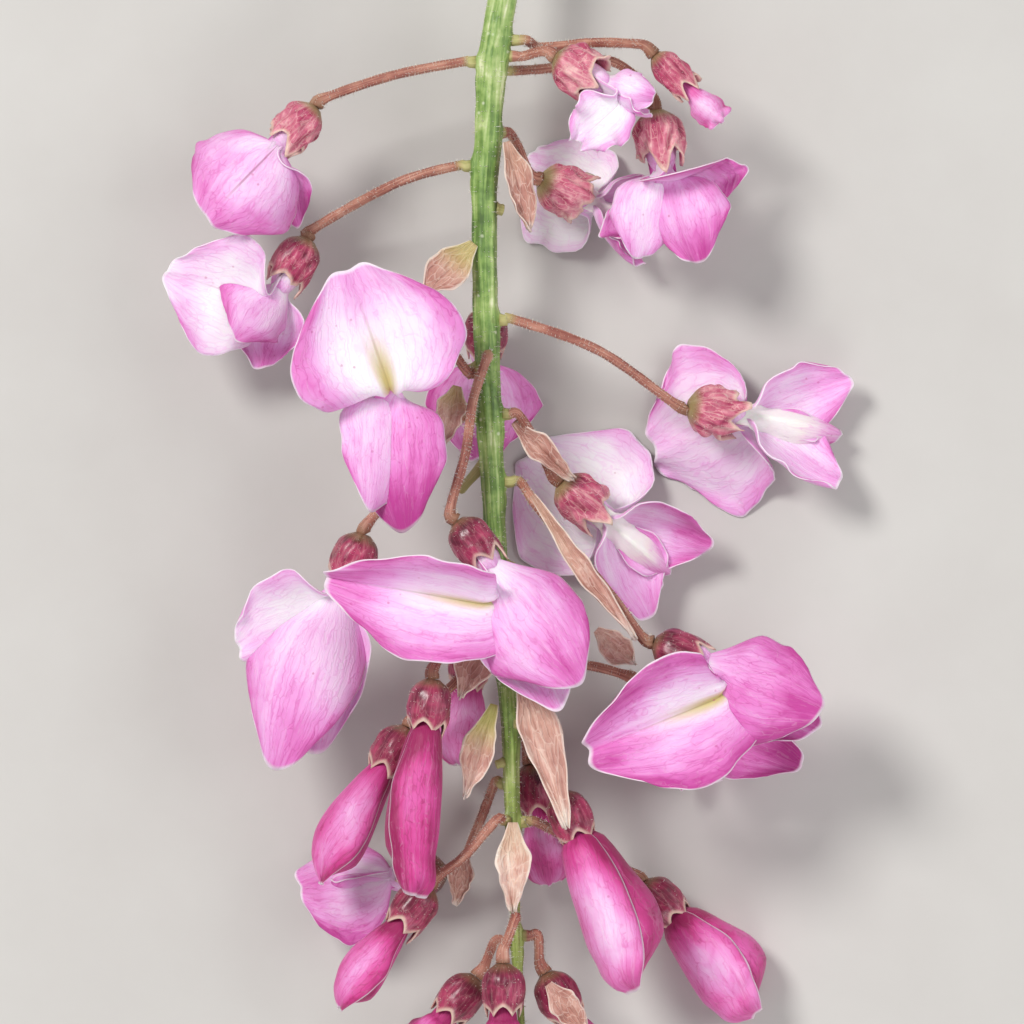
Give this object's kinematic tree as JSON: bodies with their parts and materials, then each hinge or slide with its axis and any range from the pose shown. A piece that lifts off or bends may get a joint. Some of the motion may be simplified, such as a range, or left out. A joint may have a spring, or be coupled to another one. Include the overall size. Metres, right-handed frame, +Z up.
{
  "type": "wisteria raceme",
  "caption": "Cut wisteria raceme, lying flat: a slender green stem with curved red-brown flower stalks, pink pea-shaped flowers and buds in toothed cups, and papery bracts.",
  "frame": {"origin": "on the surface that the raceme lies on, under the middle of its bounding box", "axes": "+X is to the right, +Y runs along the stem towards its cut end, and +Z is up"},
  "size_m": [0.0694, 0.1166, 0.0272],
  "materials": {
    "stem": "fresh green stem, satin",
    "stalk": "downy red-brown stalk and cup, matte",
    "petal": "soft pink petal, matte",
    "bud": "deep pink closed bud, matte",
    "bract": "dry papery bract, matte"
  },
  "bodies": {
    "root": {"stem": "stem", "petals_01": "petal", "petals_02": "petal", "petals_03": "petal", "petals_04": "petal", "petals_05": "petal", "petals_06": "bud", "petals_07": "petal", "petals_08": "petal", "petals_09": "petal", "petals_10": "petal", "petals_11": "petal", "petals_12": "petal", "petals_13": "petal", "petals_14": "petal", "petals_15": "bud", "petals_16": "bud", "petals_17": "bud", "petals_18": "petal", "petals_19": "bud", "petals_20": "bud", "petals_21": "bud", "petals_22": "bud", "petals_23": "bud", "petals_24": "bud", "petals_25": "bud", "stalk_01": "stalk", "stalk_02": "stalk", "stalk_03": "stalk", "stalk_04": "stalk", "stalk_05": "stalk", "stalk_06": "stalk", "stalk_07": "stalk", "stalk_08": "stalk", "stalk_09": "stalk", "stalk_10": "stalk", "stalk_11": "stalk", "stalk_12": "stalk", "stalk_13": "stalk", "stalk_14": "stalk", "stalk_15": "stalk", "stalk_16": "stalk", "stalk_17": "stalk", "stalk_18": "stalk", "stalk_19": "stalk", "stalk_20": "stalk", "stalk_21": "stalk", "stalk_22": "stalk", "stalk_23": "stalk", "stalk_24": "stalk", "stalk_25": "stalk", "bract_01": "bract", "bract_02": "bract", "bract_03": "bract", "bract_05": "bract", "bract_06": "bract", "bract_07": "bract", "bract_08": "bract", "bract_09": "bract"}
  },
  "joints": []
}
